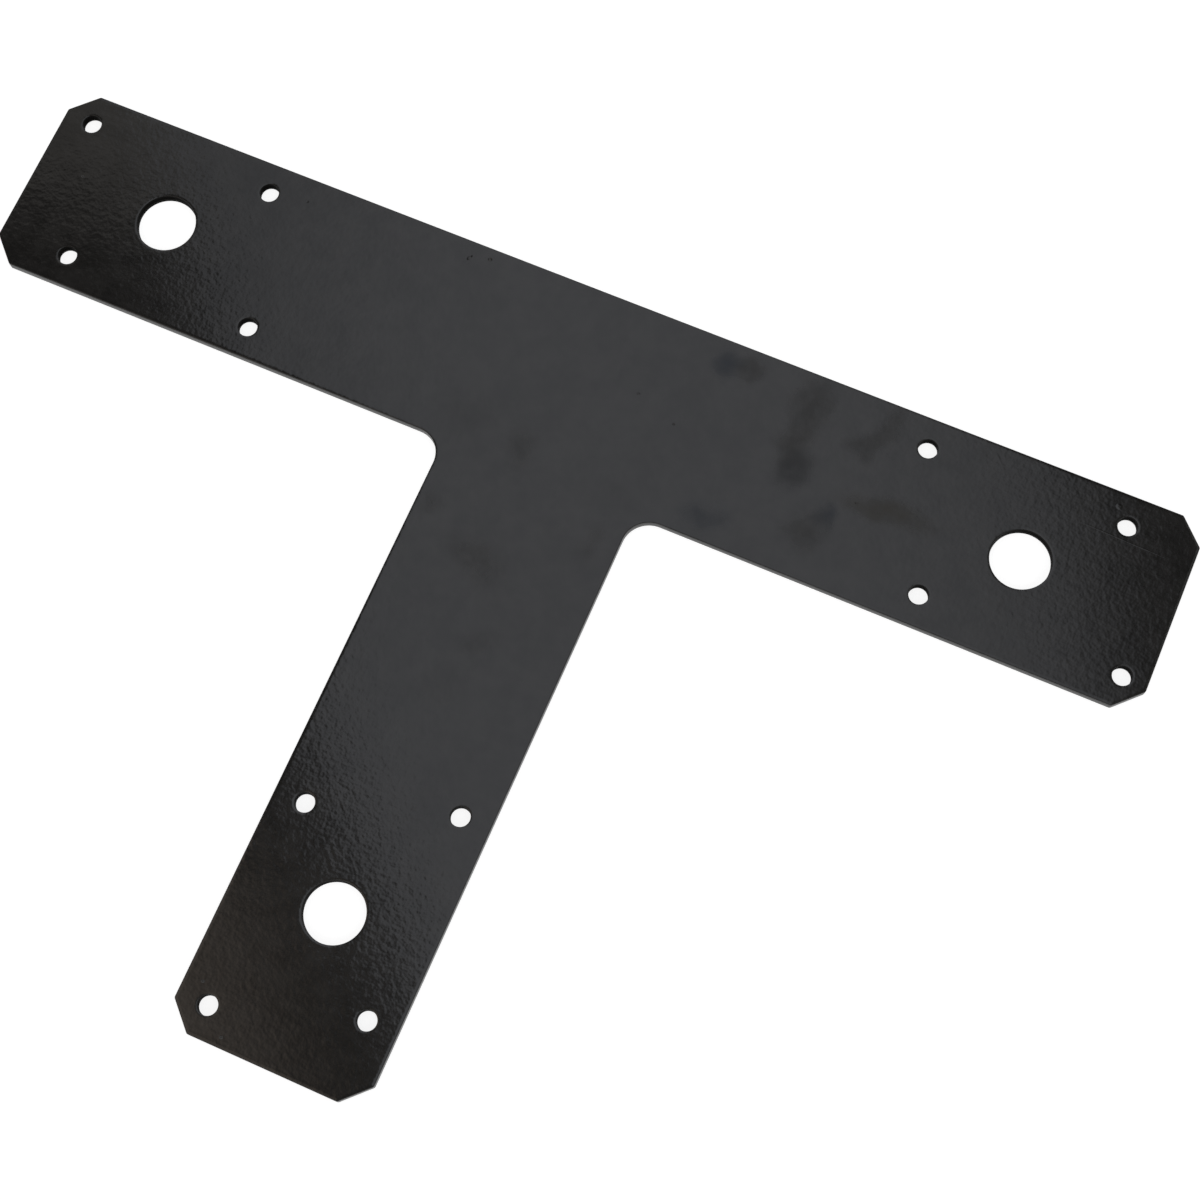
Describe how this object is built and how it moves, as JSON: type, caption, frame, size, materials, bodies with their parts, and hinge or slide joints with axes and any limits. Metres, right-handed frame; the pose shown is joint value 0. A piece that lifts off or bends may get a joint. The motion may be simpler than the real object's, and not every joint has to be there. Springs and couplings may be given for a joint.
{
  "type": "t plate bracket",
  "caption": "Flat T-shaped steel joint plate with black coating, cut corners, a large bolt hole and staggered screw holes on each arm, for fastening timbers that meet in a T.",
  "frame": {"origin": "on the flat back face, where the centre lines of the bar and the stem cross", "axes": "+X along the bar to its right end, +Y away from the stem, +Z out of the front face"},
  "size_m": [0.381, 0.2553, 0.0032],
  "materials": {
    "black_coating": "satin black powder coating on steel"
  },
  "bodies": {
    "root": {"t_plate": "black_coating"}
  },
  "joints": []
}
